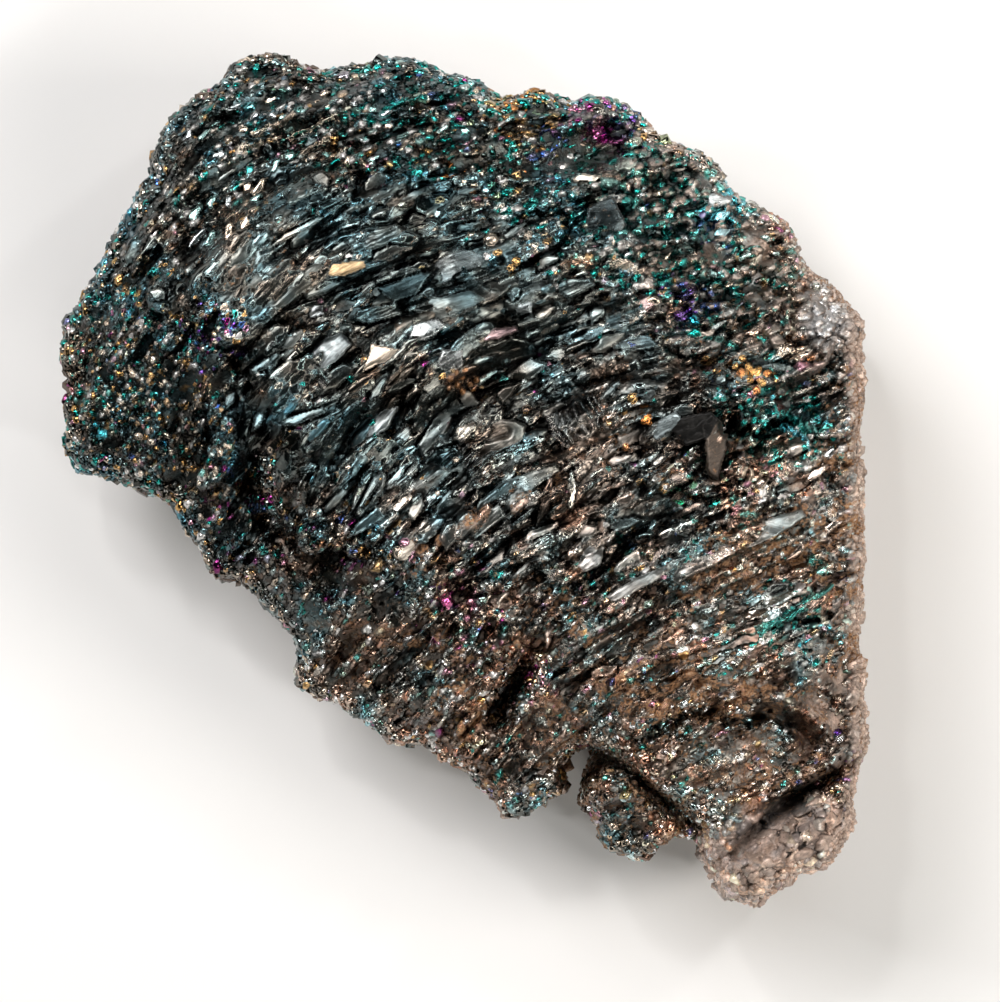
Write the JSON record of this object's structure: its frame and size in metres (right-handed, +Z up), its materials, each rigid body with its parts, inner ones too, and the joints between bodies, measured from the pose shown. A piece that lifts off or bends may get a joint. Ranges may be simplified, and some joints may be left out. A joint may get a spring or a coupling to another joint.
{
  "type": "silicon carbide crystal",
  "caption": "Hand-sized chunk of dark, iridescent plated crystals grown together, lying on its broken underside.",
  "frame": {"origin": "centre of the chunk's footprint box, on the plane that it rests on", "axes": "+Z up through the broad crystal face, +X towards the flat brown outer skin, +Y towards the rounded upper rim; Y is the longest extent and Z the shortest"},
  "size_m": [0.0804, 0.0842, 0.0354],
  "materials": {
    "silicon_carbide": "dark grey-black glossy crystal plates with teal, gold and violet iridescence and rusty brown stains"
  },
  "bodies": {
    "root": {"crystal_mass": "silicon_carbide"}
  },
  "joints": []
}
